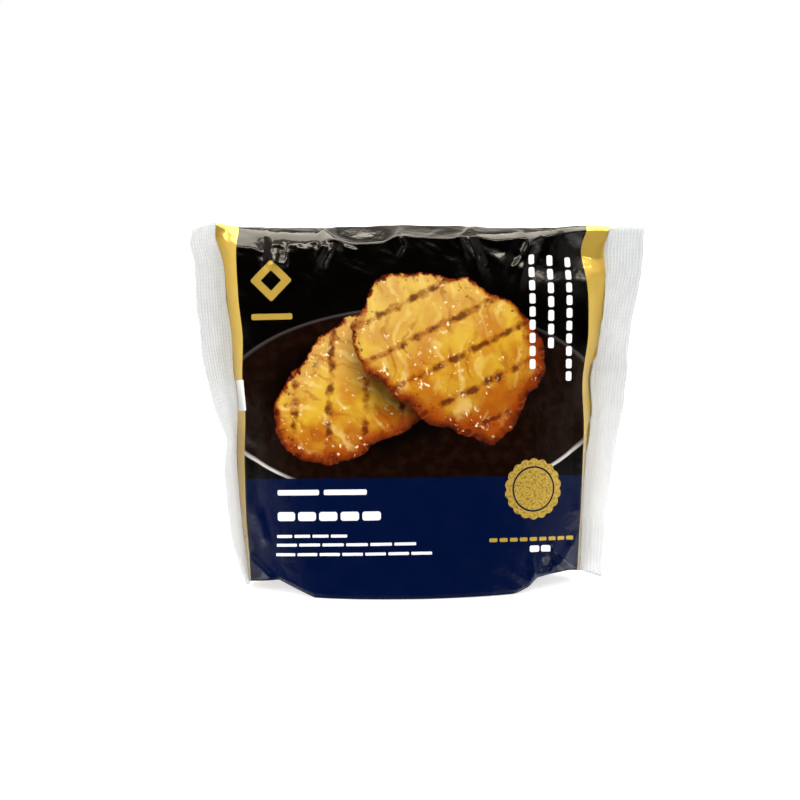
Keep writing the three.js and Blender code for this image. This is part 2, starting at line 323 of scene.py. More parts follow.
class Film:
    """Where the film of a pack of some sizes lies. Lengths are in millimetres."""

    def __init__(self, sizes):
        self.panel = sizes.panel_half_width / MM
        self.stripe = sizes.stripe_width / MM
        self.seal = sizes.seal_width / MM
        self.height = sizes.height / MM
        self.base = sizes.base_depth / MM / 2
        self.top = sizes.top_depth / MM / 2
        self.edge = self.panel + self.stripe
        self.crimp = sizes.crimp_pitch / MM
        self.seam_low = sizes.seam_low / MM
        self.seam_high = sizes.seam_high / MM

    def at_height(self, u, z, left, right):
        share = np.clip(z / self.height, 0, 1)
        return np.where(u < 0, through(left, share), through(right, share))

    def lean(self, u, z):
        return np.radians(self.at_height(u, z, STRIPE_LEAN_LEFT, STRIPE_LEAN_RIGHT))

    def bend(self, u, z):
        return np.radians(self.at_height(u, z, SEAL_BEND_LEFT, SEAL_BEND_RIGHT))

    def middle_depth(self, z):
        return mix(self.base, self.top, np.clip(z / self.height, 0, 1) ** 1.6)

    def fullness(self, z):
        return mix(2.5, 1.8, np.clip(z / self.height, 0, 1))

    def half_depth(self, u, z):
        """From the pack's middle plane to the film, before its folds."""
        out = np.abs(u)
        middle, at_stripe = self.middle_depth(z), self.stripe * np.sin(self.lean(u, z))
        panel = mix(middle, at_stripe, np.clip(out / self.panel, 0, 1) ** self.fullness(z))
        stripe = np.maximum(at_stripe * (self.edge - out) / self.stripe, EDGE_THICKNESS / 2)
        last = EDGE_THICKNESS / 2 * np.clip((self.edge + OVERLAP - out) / OVERLAP, 0, 1)
        return np.where(out <= self.panel, panel, np.where(out < self.edge, stripe, last))

    def reach(self, u, z):
        """How far to the side a place on the film lies: the panel bulges, so its sides draw in."""
        out = np.minimum(np.abs(u), self.panel)
        power = self.fullness(z)
        steepest = (self.middle_depth(z) - self.stripe * np.sin(self.lean(u, z))) * power / self.panel
        total = np.zeros(np.shape(out))
        for step in range(ARC_STEPS):
            slope = steepest * (out * (step + 0.5) / ARC_STEPS / self.panel) ** (power - 1)
            total = total + np.sqrt(np.clip(1 - slope * slope, 0.01, 1)) * out / ARC_STEPS
        total = total + np.clip(np.abs(u) - self.panel, 0, self.stripe) * np.cos(self.lean(u, z))
        wander = self.at_height(u, z, WANDER_LEFT, WANDER_RIGHT)
        wander = wander * smooth(self.panel - 3, self.panel, np.abs(u))
        wander = wander * (1 - smooth(self.edge, self.edge + 2.5, np.abs(u)))
        return np.sign(u) * (total + wander)

    def place(self, u, z, proud):
        """A point that far behind the middle plane, or in front; past the stripes the film bends forward."""
        past = np.maximum(0, np.abs(u) - self.edge)
        bend = np.where(past > 0, self.bend(u, z), 0)
        outward = past * np.cos(bend) + np.where(past > 0, proud * np.sin(bend), 0)
        backward = proud * np.cos(bend) - past * np.sin(bend)
        return np.stack([self.reach(u, z) + np.sign(u) * outward, backward, z + 0 * u], axis=-1)

    def foot(self, u):
        places, heights = np.array(FOOT_LEFT).T
        return np.where(u < 0, np.interp(np.abs(u), places, heights), through(FOOT_RIGHT, np.abs(u)))

    def crown(self, u):
        return through(CROWN, u)

    def front_top(self, u):
        return np.minimum(through(FRONT_TOP, u), self.crown(u))

    def back_top(self, u):
        drop = 2.8 * (1 - smooth(30, self.edge, np.abs(u)))
        for at, _, _, _, _, lift in BACK_PLEATS:
            drop = drop - lift * (1 - smooth(0, 6, np.abs(u - at)))
        low = self.crown(u) - np.maximum(0.2, drop)
        return mix(low, self.front_top(u), smooth(self.edge - 4, self.edge, np.abs(u)))

    def pleated(self, u, below, pleats):
        total = 0
        for at, length, slant, height, width, _ in pleats:
            share = below / length
            across = (u - at - slant * share) / width
            total += height * crease(across) * (1 - smooth(0.3, 1, share))
        return total * (1 - smooth(36, self.panel, np.abs(u)))

    def rounding(self, above):
        b = np.clip(1 - above / FOOT_RADIUS, 0, 1)
        return FOOT_RADIUS * (1 - np.sqrt(1 - b * b))

    def panel_depth(self, u, z, pleats, top, relief):
        """From the middle plane to a panel's film, with its pleats, folds and rounded lower edge."""
        plain = self.half_depth(u, z)
        body = plain + self.pleated(u, top - z, pleats) + relief * smooth(0.3, 4, plain)
        body = body - self.rounding(z - self.foot(u)) * smooth(0.6, 4, body)
        return np.maximum(body, np.minimum(plain, EDGE_THICKNESS / 2))

    def sway(self, u, z):
        """How far both faces of a stripe lean backwards together."""
        out = np.abs(u)
        near = smooth(self.panel - 7, self.panel, out) * (1 - smooth(self.edge, self.edge + 3, out))
        far = smooth(self.panel - 11, self.panel - 5, out)
        past = np.maximum(0, z - np.interp(out, (36, self.panel, self.edge), (88.9, 88.4, 91.5)))
        folded = far * (0.6 * past + 0.22 * past * past)
        above = z - 82 + 0.25 * (out - 45)
        kink = 1.4 * np.maximum(0, 1 - np.where(above > 0, above / 6, -above / 3.4))
        kink = near * (kink + 1.2 * smooth(1.2, 0, self.crown(u) - z))
        crumpled = np.where(u < 0, 0.22, 0.4) * facets(u, z, 6, 101) + 0.2 * waves(u, z, 9, 103)
        return np.where(u < 0, folded, kink) + near * crumpled

    def print_height(self, u, z):
        """Height of the print at a place on the film, which sinks where the panel lies further back."""
        return z + PRINT_SINKS * (self.half_depth(0 * u, z) - self.half_depth(u, z))


def front_folds(u, z, top, foot):
    """Folds and dents of the front panel, outwards."""
    upper = smooth(14, 2, top - z)
    lower = smooth(11, 1, z - foot)
    sides = smooth(22, 36, np.abs(u))
    total = sum(along(u, z, line) for line in FRONT_CREASES)
    total += (0.26 * facets(u, z, 4.4, 11) + 0.1 * facets(u, z, 1.9, 13)) * upper
    total += 0.5 * facets(u + 7, z, 4.6, 23) * lower * mix(0.25, 1, sides)
    total += 0.16 * waves(u, z, 13, 31) + 0.07 * facets(u, z, 9, 37)
    return total


def back_folds(u, z, top, foot):
    """Folds and dents of the back panel, outwards."""
    upper = smooth(15, 2, top - z)
    lower = smooth(12, 1, z - foot)
    total = sum(along(u, z, line) for line in BACK_CREASES)
    total += 0.4 * facets(u, z, 5.6, 41) * upper
    total += 0.45 * facets(u + 3, z, 5, 43) * lower * mix(0.3, 1, smooth(22, 36, np.abs(u)))
    total += 0.18 * waves(u, z, 14, 47) + 0.08 * facets(u, z, 10, 53)
    return total


def crowded(count):
    """Shares from 0 to 1 that lie closer together at both ends."""
    t = np.linspace(0, 1, count)
    return t - 0.5 * np.sin(2 * math.pi * t) / (2 * math.pi)


def back_surface(film, u, z):
    top, foot = film.back_top(u), film.foot(u)
    return film.panel_depth(u, z, BACK_PLEATS, top, back_folds(u, z, top, foot))


def film_rows(film, u):
    """Points and print heights, row by row: up the front, over the roof, down the back and under the base."""
    foot = film.foot(u)
    front_top, back_top = film.front_top(u), film.back_top(u)
    share = crowded(PANEL_ROWS)[:, None]

    front_z = mix(foot, front_top, share)
    columns = u + 0 * front_z
    folds = front_folds(columns, front_z, front_top, foot)
    front_y = film.panel_depth(columns, front_z, FRONT_PLEATS, front_top, folds)
    front = film.place(columns, front_z, -front_y)
    front_print = film.print_height(columns, front_z)

    back_z = mix(foot, back_top, share)[::-1]
    back_y = back_surface(film, columns, back_z)
    back = film.place(columns, back_z, back_y)
    back_print = BACK_FOOT - film.print_height(columns, back_z)

    across = np.linspace(-1, 1, ROOF_ROWS + 2)[1:-1, None]
    lens = film.edge + OVERLAP - np.abs(u)
    rim = mix(front_top, back_top, (across + 1) / 2)
    fullness = through(ROOF_FULLNESS, u)
    crown_at = 0.3 * smooth(2.2, 1.2, fullness)
    full = 1 - np.where(across < crown_at, (crown_at - across) / (1 + crown_at),
                        (across - crown_at) / (1 - crown_at)) ** fullness
    roof_z = rim + (film.crown(u) - rim) * full * smooth(0, 3, lens)
    roof_u = u + 0 * roof_z
    roof_y = mix(-front_y[-1], back_y[0], (across + 1) / 2)
    hollow = (1 - across ** 2) * smooth(0, 8, lens) * mix(1, 0.15, smooth(-0.7, 0.3, across))
    roof_z = roof_z - 0.8 * hollow * roof_folds(roof_u, roof_y)
    roof = film.place(roof_u, rim, roof_y)
    roof[..., 2] = roof_z
    roof_print = mix(front_print[-1], back_print[0], (across + 1) / 2)

    under = np.linspace(1, -1, BASE_ROWS + 2)[1:-1, None]
    opening = smooth(29, 42, np.abs(u)) * (1 - smooth(43.6, 47.6, np.abs(u)))
    base_z = foot + 9 * opening * (1 - np.abs(under))
    base_y = mix(-front_y[0], back_y[-1], (under + 1) / 2)
    flat = (1 - under ** 2) * smooth(0.5, 4, np.abs(front_y[0]))
    base = film.place(u + 0 * base_z, foot + 0 * base_z, base_y)
    base[..., 2] = base_z + 0.15 * flat * (1 + facets(u + 0 * base_z, base_y, 6, 61))
    base_print = mix(BACK_FOOT, BASE_ENDS - 1, (1 - under) / 2) + 0 * columns[:1]

    points = np.concatenate([front, roof, back, base, front[:1]])
    points[..., 1] += film.sway(u + 0 * points[..., 2], points[..., 2])
    last_print = BASE_ENDS + 0 * front_print[:1]
    prints = np.concatenate([front_print, roof_print, back_print, base_print, last_print])
    return points, prints


def roof_folds(u, y):
    """Hollows of the roof, from 0 to about 1."""
    folds = 0.3 + 0.3 * facets(u, y, 6.5, 71) + 0.12 * facets(u, y, 2.6, 73)
    return np.clip(folds, 0, 1) - 0.8 * sum(along(u, y, line) for line in ROOF_CREASES)


def add_piece(name, u, points, prints, slot):
    """Adds a closed piece made of a grid of film: its last row meets its first, and its ends are shut."""
    rows, columns = points.shape[:2]
    mesh = bmesh.new()
    bmesh.ops.create_grid(mesh, x_segments=columns - 1, y_segments=rows - 1, size=0.5)
    for vertex, point in zip(mesh.verts, (points * MM).reshape(-1, 3)):
        vertex.co = point
    mesh.verts.index_update()
    across = np.broadcast_to(UV_MIDDLE + u / UV_SPAN, (rows, columns)).ravel()
    up = (prints / UV_SPAN).ravel()
    layer = mesh.loops.layers.uv.new("film")
    for face in mesh.faces:
        face.smooth = True
        for corner in face.loops:
            corner[layer].uv = (across[corner.vert.index], up[corner.vert.index])
    number = np.arange(rows * columns).reshape(rows, columns)
    rim = np.unique(np.concatenate([number[0], number[-1], number[:, 0], number[:, -1]]))
    mesh.verts.ensure_lookup_table()
    bmesh.ops.remove_doubles(mesh, verts=[mesh.verts[i] for i in rim], dist=2e-6)
    bmesh.ops.dissolve_degenerate(mesh, edges=mesh.edges[:], dist=1e-7)
    if any(not edge.is_manifold for edge in mesh.edges):
        raise RuntimeError(name + " isn't closed")
    bmesh.ops.recalc_face_normals(mesh, faces=mesh.faces[:])
    data = bpy.data.meshes.new(name)
    mesh.to_mesh(data)
    mesh.free()
    data.materials.append(finish(slot))
    piece = bpy.data.objects.new(name, data)
    bpy.context.scene.collection.objects.link(piece)
    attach(piece, BODY)
    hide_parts(PACK_NODE)


def zigzag(x):
    """1 at every whole number, and straight down to -1 halfway to the next."""
    return 1 - 4 * np.abs(x - np.round(x))


def seal_rows(film, side):
    """Film positions, points and print heights of one crimped end seal, up its front and down its back."""
    out = np.linspace(film.edge - 0.25, film.edge + film.seal, SEAL_COLUMNS)
    u = (side * out)[::side]
    share = np.linspace(0, 1, SEAL_ROWS)[:, None]
    foot, top = film.foot(u), film.crown(u)
    z = mix(foot, top, share)
    past = np.abs(u) - film.edge
    shown = smooth(0, 0.6, past) + 0 * z
    bold = 1 - smooth(15.5, 17.5, z) if side > 0 else 0 * z
    wave = mix(0.045 * zigzag(past / film.crimp), 0.16 * zigzag(past / (film.crimp * 1.55)), bold) * shown
    wave += 0.3 * waves(past + 0 * z, z + 40 * side, 11, 83) * smooth(0.5, 5, past)
    wave += 0.12 * facets(past + 0 * z, z, 5, 89) * smooth(14, 2, top - z) * shown
    ends = np.minimum(1, np.minimum(past + 0.25, film.seal - past) / 0.12)
    half = SEAL_THICKNESS / 2 * np.clip(ends, 0, 1) + 0 * z
    ragged = side * 0.22 * waves(0 * z, z, 3.1, 97 + side) * smooth(film.seal - 3, film.seal, past)
    front = film.place(u + ragged, z, wave - half)
    back = film.place(u + ragged, z, wave + half)[::-1]
    height = film.print_height(u + 0 * z, z)
    points = np.concatenate([front, back, front[:1]])
    prints = np.concatenate([height, BACK_FOOT - height[::-1], 0 * height[:1] + BACK_FOOT])
    return u, points, prints


def seam_rows(film, u):
    """Points and print heights of the lap seam on the back panel, up its outside and down its inside."""
    share = np.linspace(0, 1, SEAM_ROWS)[:, None]
    z = mix(film.seam_low, film.seam_high, share) + 0 * u
    columns = u + 0 * z
    ends = smooth(0, 1.2, film.panel - 1 - np.abs(u))
    rounded = np.sqrt(np.clip(1 - (2 * share - 1) ** 8, 0, 1))
    surface = back_surface(film, columns, z)
    outside = film.place(columns, z, surface + 0.4 * ends * rounded)
    inside = film.place(columns, z, surface - 0.25 * ends)[::-1]
    height = BACK_FOOT - film.print_height(columns, z)
    points = np.concatenate([outside, inside, outside[:1]])
    prints = np.concatenate([height, height[::-1], height[:1]])
    return points, prints


class Value:
    """What a node puts out. Arithmetic on values adds Math nodes."""

    def __init__(self, nodes, socket):
        self.nodes = nodes
        self.socket = socket

    def change(self, operation, *others):
        return self.nodes.math(operation, self, *others)

    def __rsub__(self, other):
        return self.nodes.math("SUBTRACT", other, self)

    __add__ = partialmethod(change, "ADD")
    __sub__ = partialmethod(change, "SUBTRACT")
    __mul__ = partialmethod(change, "MULTIPLY")
    __truediv__ = partialmethod(change, "DIVIDE")
    __pow__ = partialmethod(change, "POWER")
    __abs__ = partialmethod(change, "ABSOLUTE")


class Paint:
    """A colour that other colours are laid over."""

    def __init__(self, nodes, color):
        self.nodes = nodes
        self.color = color

    def lay(self, share, color):
        self.color = self.nodes.blend(share, self.color, color)


class Nodes:
    """Adds nodes to a tree and joins them up. Each call gives back what the new node puts out."""

    def __init__(self, tree):
        self.tree = tree
        self.count = 0

    def new(self, kind, **settings):
        node = self.tree.nodes.new(kind)
        node.location = (220 * (self.count % 12), -220 * (self.count // 12))
        self.count += 1
        for name, value in settings.items():
            setattr(node, name, value)
        return node

    def feed(self, socket, value):
        if isinstance(value, Value):
            self.tree.links.new(value.socket, socket)
        else:
            socket.default_value = value

    def add(self, kind, values=(), output=0, **settings):
        node = self.new(kind, **settings)
        for key, value in values:
            self.feed(node.inputs[key], value)
        return Value(self, node.outputs[output])

    def math(self, operation, *values):
        return self.add("ShaderNodeMath", enumerate(values), operation=operation)

    def larger(self, first, second):
        return self.math("MAXIMUM", first, second)

    def past(self, value, limit):
        """1 where the value is over the limit, and 0 elsewhere."""
        return self.math("GREATER_THAN", value, limit)

    def wave(self, value):
        return self.math("SINE", value)

    def ramp(self, value, low, high, start=0, end=1, kind="LINEAR"):
        """start where the value is low or less, end where it is high or more."""
        values = enumerate((value, low, high, start, end))
        return self.add("ShaderNodeMapRange", values, interpolation_type=kind, clamp=True)

    def soft_ramp(self, *values):
        return self.ramp(*values, kind="SMOOTHSTEP")

    def blend(self, share, first, second):
        values = ((0, share), (6, first), (7, second))
        return self.add("ShaderNodeMix", values, output=2, data_type="RGBA", clamp_factor=True)

    def vector(self, x, y, z=0):
        return self.add("ShaderNodeCombineXYZ", enumerate((x, y, z)))

    def split(self, vector):
        """The three parts of a vector."""
        node = self.new("ShaderNodeSeparateXYZ")
        self.feed(node.inputs[0], vector)
        return [Value(self, part) for part in node.outputs]

    def noise(self, place, scale, detail=2):
        return self.add("ShaderNodeTexNoise", (("Vector", place), ("Scale", scale), ("Detail", detail)))

    def bump(self, height, strength):
        """A normal from a height in millimetres."""
        return self.add("ShaderNodeBump", (("Strength", strength), ("Distance", MM), ("Height", height)))

    def group(self, tree, **values):
        """Places a node group and gives back its outputs by name; an input's name has _ for a space."""
        node = self.new("ShaderNodeGroup", node_tree=tree)
        for name, value in values.items():
            self.feed(node.inputs[name.replace("_", " ")], value)
        return {socket.name: Value(self, socket) for socket in node.outputs}


def new_group(name, inputs, outputs):
    """A shader node group: its nodes, its inputs by name, and the sockets that its results go to."""
    tree = bpy.data.node_groups.new(name, "ShaderNodeTree")
    for side, sockets in (("INPUT", inputs), ("OUTPUT", outputs)):
        for label, kind in sockets:
            tree.interface.new_socket(label, in_out=side, socket_type="NodeSocket" + kind)
    source, result = tree.nodes.new("NodeGroupInput"), tree.nodes.new("NodeGroupOutput")
    source.location, result.location = (-400, 0), (2800, 0)
    n = Nodes(tree)
    return n, {socket.name: Value(n, socket) for socket in source.outputs if socket.name}, result.inputs


def shape_group(name, sizes, outputs):
    """A group for one printed shape: its nodes and results, then a place counted from the shape's middle, the
    same place turned with the shape, and its sizes."""
    labels = ("Across", "Up", "Turn") + sizes
    n, given, result = new_group(name, [(label, "Float") for label in labels], outputs)
    x, y, turn, *sizes = given.values()
    cosine, sine = n.math("COSINE", turn), n.math("SINE", turn)
    return n, result, (x, y), (x * cosine + y * sine, y * cosine - x * sine), sizes


def bar_group():
    """A printed bar with round corners, or a row of such dashes. Lengths are in millimetres."""
    n, result, _, (x, y), (half_width, half_height, corner, dashes, gap) = shape_group(
        "Printed bar", ("Half Width", "Half Height", "Corner", "Dashes", "Gap"), [("Mask", "Float")])
    pitch = (half_width * 2 + gap) / dashes
    half_dash = (pitch - gap) * 0.5
    in_dash = n.math("FLOORED_MODULO", x + half_width, pitch) - half_dash
    out_x = n.larger(abs(in_dash) - (half_dash - corner), 0)
    out_y = n.larger(abs(y) - (half_height - corner), 0)
    edge = n.math("SQRT", out_x * out_x + out_y * out_y) - corner
    n.feed(result["Mask"], n.ramp(edge, 0.08, -0.08) * n.ramp(abs(x) - half_width, 0.1, 0.02))
    return n.tree


def printed_bar(n, u, v, box, corner=0.4, turn=0, dashes=1, gap=0):
    """Mask of a bar, or of a row of dashes, that fills a box of print."""
    left, right, low, high = box
    tree = bpy.data.node_groups.get("Printed bar") or bar_group()
    return n.group(tree, Across=u - (left + right) / 2, Up=v - (low + high) / 2, Turn=turn, Corner=corner,
                   Half_Width=(right - left) / 2, Half_Height=(high - low) / 2, Dashes=dashes,
                   Gap=gap)["Mask"]


def box_round(middle_u, middle_v, half_u, half_v):
    return middle_u - half_u, middle_u + half_u, middle_v - half_v, middle_v + half_v


def medal_group():
    """A plain round printed medal: a scalloped disc with a ring cut out of it."""
    n, result, (x, y), _, (radius,) = shape_group(
        "Printed medal", ("Radius",), [("Mask", "Float"), ("Ring", "Float")])
    away = n.math("SQRT", x * x + y * y)
    scallop = abs(n.wave(n.math("ARCTAN2", y, x) * 9)) * 0.5
    n.feed(result["Mask"], n.ramp(radius - 0.5 - (away - scallop), -0.08, 0.08))
    n.feed(result["Ring"], n.ramp(abs(away - radius * 0.72), 0.3, 0.18))
    return n.tree


def slice_group(colors):
    """A printed picture of a grilled slice, seen from above."""
    n, result, (x, y), (length, width), (half_length, half_width, seed) = shape_group(
        "Grilled slice", ("Half Length", "Half Width", "Seed"), [("Mask", "Float"), ("Color", "Color")])
    place = n.vector(length, width, seed * 7.3)
    soft = n.noise(place, 0.09, 1) - 0.5
    rough = n.noise(place, 0.4, 4) - 0.5

    # Its uneven outline, wider towards one end, and how far inside it a place lies
    taper = length / half_length * 0.16 + 1
    ring = abs(length / half_length) ** 3 + abs(width / (half_width * taper)) ** 2.5
    inside = 1 - ring ** 0.37 + soft * 0.42 + rough * 0.1
    n.feed(result["Mask"], n.ramp(inside, -0.004, 0.01))

    # Golden flesh, paler towards the upper left and redder towards the lower right
    lower = (x * 0.35 - y * 0.9) / half_width + rough * 0.8
    paint = Paint(n, colors.fillet)
    paint.lay(n.soft_ramp(n.noise(place, 0.12, 3), 0.36, 0.62), colors.fillet_deep)
    paint.lay(n.ramp(lower, 0.15, -0.9, 0, 0.4), colors.fillet_light)
    paint.lay(n.ramp(lower, 0.15, 1, 0, 0.72), colors.fillet_red)

    # Flakes across it: pale ridges with darker grooves between them
    flake = n.wave((soft * 16 + width * 0.5 + length + rough * 3.5) * 0.85)
    shown = n.ramp(n.noise(place, 0.16, 2), 0.4, 0.6)
    paint.lay(n.soft_ramp(flake, 0.62, 0.98) * (shown * 0.55), colors.fillet_light)
    paint.lay(n.soft_ramp(flake, -0.8, -1) * (shown * 0.5), colors.fillet_red)

    # Browned edge, deeper at the bottom, and the bars of the grill
    browned = 1 - (rough * 0.16 + inside) / n.ramp(lower, -0.6, 0.9, 0.05, 0.26)
    paint.lay(n.ramp(browned, 0, 0.55), colors.fillet_red)
    paint.lay(n.ramp(browned, 0.45, 1), colors.grilled)
    bar = n.wave((length - width * 0.8) * 0.56) + rough * 1.5
    paint.lay(n.ramp(bar, 0.74, 0.92, 0, 0.55), colors.fillet_red)
    paint.lay(n.ramp(bar, 0.94, 1.12, 0, 0.75), colors.grilled)

    # Specks of char near the edge, and wet glints
    char = n.ramp(n.noise(place, 0.62, 3), 0.6, 0.68) * n.ramp(inside, 0.3, 0.1)
    paint.lay(char * 0.8, colors.grilled)
    gloss = n.ramp(n.noise(place, 0.85, 4), 0.61, 0.7) * n.ramp(inside, 0.02, 0.07)
    gloss = gloss * n.ramp(n.noise(place, 0.14, 1), 0.45, 0.6)
    n.feed(result["Color"], n.blend(gloss * 0.85, paint.color, colors.gloss))
    return n.tree


def panel_group(name):
    """A group that prints a whole panel, and what it is given: places across it and up it, in millimetres."""
    n, given, result = new_group(
        name, [("Across", "Float"), ("Up", "Float")], [("Color", "Color"), ("Gold", "Float")])
    return n, result, given["Across"], given["Up"]


def front_print_group(colors):
    """The print of the front panel."""
    n, result, u, v = panel_group("Front print")
    place = n.vector(u, v)

    def oval(middle_u, middle_v, half_u, half_v):
        a, b = (u - middle_u) / half_u, (v - middle_v) / half_v
        return n.math("SQRT", a * a + b * b)

    # The dark plate, whose rim catches light at its two ends
    plate = oval(*PLATE)
    stone = n.blend(n.ramp(n.noise(place, 0.35, 4), 0.45, 0.75), colors.plate, colors.plate_light)
    paint = Paint(n, colors.ground)
    paint.lay(n.ramp(plate, 1.005, 0.99), stone)
    rim = n.ramp(plate, 0.965, 0.985) * n.ramp(plate, 1, 0.99)
    ends = n.ramp(abs(abs(u - PLATE[0]) - 37), 9, 3) * n.ramp(v, 44, 38)
    paint.lay(rim * n.larger(ends, 0.06), colors.plate_rim)

    fillet = slice_group(colors)
    for middle_u, middle_v, turn, half_length, half_width, seed in SLICES:
        shade = n.ramp(oval(middle_u + 0.5, middle_v - 1.5, half_length, half_width + 1), 1.15, 0.85)
        paint.lay(shade * 0.85, colors.ground)
        picture = n.group(fillet, Across=u - middle_u, Up=v - middle_v, Turn=turn,
                          Half_Length=half_length, Half_Width=half_width, Seed=seed)
        paint.lay(picture["Mask"], picture["Color"])

    paint.lay(n.ramp(u * -0.004 + BAND_TOP - v, -0.08, 0.08), colors.band)
    for middle_u, middle_v, length, thickness, dashes in WHITE_COLUMNS:
        box = box_round(middle_u, middle_v, length / 2, thickness / 2)
        paint.lay(printed_bar(n, u, v, box, 0.5, math.pi / 2, dashes, 0.75), colors.white)
    for left, right, low, high, dashes, gap in WHITE_BARS:
        bar = printed_bar(n, u, v, (left, right, low, high), (high - low) * 0.3, 0, dashes, gap)
        paint.lay(bar, colors.white)

    # The gold figures: a row of dashes, a diamond over a bar, and a medal of speckled foil
    middle_u, middle_v, radius = MEDAL
    medal = n.group(medal_group(), Across=u - middle_u, Up=v - middle_v, Radius=radius)
    paint.lay(medal["Mask"], colors.band)
    foil = medal["Mask"] * (1 - medal["Ring"])
    middle_u, middle_v, half = DIAMOND
    outer = printed_bar(n, u, v, box_round(middle_u, middle_v, half, half), 0.5, math.pi / 4)
    inner = printed_bar(n, u, v, box_round(middle_u, middle_v, half / 2, half / 2), 0.3, math.pi / 4)
    gold = n.larger(printed_bar(n, u, v, GOLD_BAR, 0.3, 0, 9, 0.6), foil)
    gold = n.larger(n.larger(gold, outer * (1 - inner)), printed_bar(n, u, v, EMBLEM_BAR))
    paint.lay(gold, colors.gold)
    paint.lay(n.ramp(n.noise(place, 1.5, 4), 0.48, 0.62) * foil, colors.gold_deep)
    paint.lay(n.ramp(n.noise(place, 2.3, 3), 0.62, 0.7) * foil, colors.gold_light)
    n.feed(result["Color"], paint.color)
    n.feed(result["Gold"], gold)
    return n.tree


def back_print_group(colors):
    """The print of the back panel, where right and left change places."""
    n, result, across, v = panel_group("Back print")
    u = across * -1
    paint = Paint(n, colors.ground)
    paint.lay(n.ramp(BAND_TOP - v, -0.08, 0.08), colors.band)
    paint.lay(printed_bar(n, u, v, BACK_LABEL, 1.5), colors.white)
    for bars, ink in ((BACK_BARS, colors.ground), (BACK_PALE_BARS, colors.white)):
        for box in bars:
            paint.lay(printed_bar(n, u, v, box, 0.3), ink)
    gold = n.ramp(abs(v - BAND_TOP), 0.45, 0.3)
    n.feed(result["Color"], n.blend(gold, paint.color, colors.gold))
    n.feed(result["Gold"], gold)
    return n.tree


def wrinkle_group():
    """Fine unevenness of thin film, as a height in millimetres."""
    n, given, result = new_group(
        "Film wrinkles", [("Place", "Vector"), ("Strength", "Float")], [("Height", "Float")])
    height = n.noise(given["Place"], 1.1, 3) * 0.12 + n.noise(given["Place"], 0.22, 2) * 0.55
    n.feed(result["Height"], height * given["Strength"])
    return n.tree


def film_place(n):
    """Film position and print height in millimetres, from the UV map."""
    across, up, _ = n.split(n.add("ShaderNodeUVMap", uv_map="film"))
    return (across - UV_MIDDLE) * UV_SPAN, up * UV_SPAN


def new_material(name, **constants):
    """A material with a Principled BSDF, whose own sockets hold what is the same all over."""
    material = bpy.data.materials.new(name)
    material.use_nodes = True
    shader = material.node_tree.nodes["Principled BSDF"]
    for label, value in constants.items():
        shader.inputs[label.replace("_", " ")].default_value = value
    return material, Nodes(material.node_tree), shader.inputs


def printed_film_material(colors, wrinkles):
    _, n, shader = new_material("Printed film", Specular_IOR_Level=0.42)
    u, w = film_place(n)
    place = n.vector(u, w)
    front = n.group(front_print_group(colors), Across=u, Up=w)
    back = n.group(back_print_group(colors), Across=u, Up=BACK_FOOT - w)
    on_back = n.past(w, BACK_TOP)
    paint = Paint(n, front["Color"])
    paint.lay(on_back, back["Color"])
    paint.lay(n.past(w, BACK_FOOT), colors.band)
    paint.lay(n.past(w, ROOF_STARTS) * (1 - on_back), colors.ground)
    stripe = n.ramp(abs(u), STRIPE_STARTS - 0.07, STRIPE_STARTS + 0.07)
    paint.lay(stripe, colors.gold)
    gold = n.larger(n.blend(on_back, front["Gold"], back["Gold"]), stripe)
    patch = printed_bar(n, u, w, OPENING, 0.25)
    n.feed(shader["Base Color"], n.blend(patch, paint.color, colors.white))
    n.feed(shader["Metallic"], gold * (1 - patch) * 0.45)
    n.feed(shader["Roughness"], n.ramp(n.noise(place, 0.16, 3), 0.3, 0.7, 0.1, 0.22))
    n.feed(shader["Normal"], n.bump(n.group(wrinkles, Place=place, Strength=1)["Height"], 0.35))


def seal_film_material(colors, wrinkles):
    _, n, shader = new_material(
        "Seal film", Specular_IOR_Level=0.5, Subsurface_Weight=1, Subsurface_Radius=(1, 1, 1),
        Subsurface_Scale=3 * MM)
    u, w = film_place(n)
    place = n.vector(u, w)
    cloud = n.noise(n.vector(u * 2.5, w), 0.25, 3)
    paint = Paint(n, colors.seal)
    paint.lay(n.ramp(cloud, 0.35, 0.7), colors.seal_shade)
    # Painted light: the seals are painted lighter towards the foot, up the front and down the back, standing
    # in for light from the pale surroundings that shines through the milky film there
    paint.lay(n.ramp(n.math("MINIMUM", w, BACK_FOOT - w), 60, 12), colors.seal_painted_light)
    crimp_pitch = bpy.context.scene.onigiri_sizes.crimp_pitch / MM
    ridge = n.wave(u * (2 * math.pi / crimp_pitch))
    cross = n.wave(w * (2 * math.pi / CROSS_PITCH))
    mesh = n.ramp(ridge, -0.2, 0.9) * n.ramp(cross, -0.9, 0.4, 0.45, 1)
    worn = n.ramp(n.noise(place, 0.3, 2), 0.35, 0.6, 0.15, 0.5)
    paint.lay(mesh * worn, colors.seal_light)
    fleck = n.ramp(n.noise(place, 1.1, 1), 0.8, 0.82)
    n.feed(shader["Base Color"], n.blend(fleck, paint.color, colors.white))
    n.feed(shader["Roughness"], n.ramp(cloud, 0.3, 0.7, 0.28, 0.42))
    height = cross * 0.02 + n.group(wrinkles, Place=place, Strength=0.7)["Height"]
    n.feed(shader["Normal"], n.bump(height, 0.4))


def finish(slot):
    """The material of a slot, made the first time that a piece needs it."""
    name = slot.replace("_", " ").capitalize()
    if name not in bpy.data.materials:
        wrinkles = bpy.data.node_groups.get("Film wrinkles") or wrinkle_group()
        maker = {"printed_film": printed_film_material, "seal_film": seal_film_material}[slot]
        maker(bpy.context.scene.onigiri_colors, wrinkles)
    return bpy.data.materials[name]


def metres(description, default, low):
    return FloatProperty(description=description, default=default, min=low, unit="LENGTH")


def rgb(description, *color):
    return FloatVectorProperty(
        description=description, default=(*color, 1), size=4, min=0, max=1, subtype="COLOR")


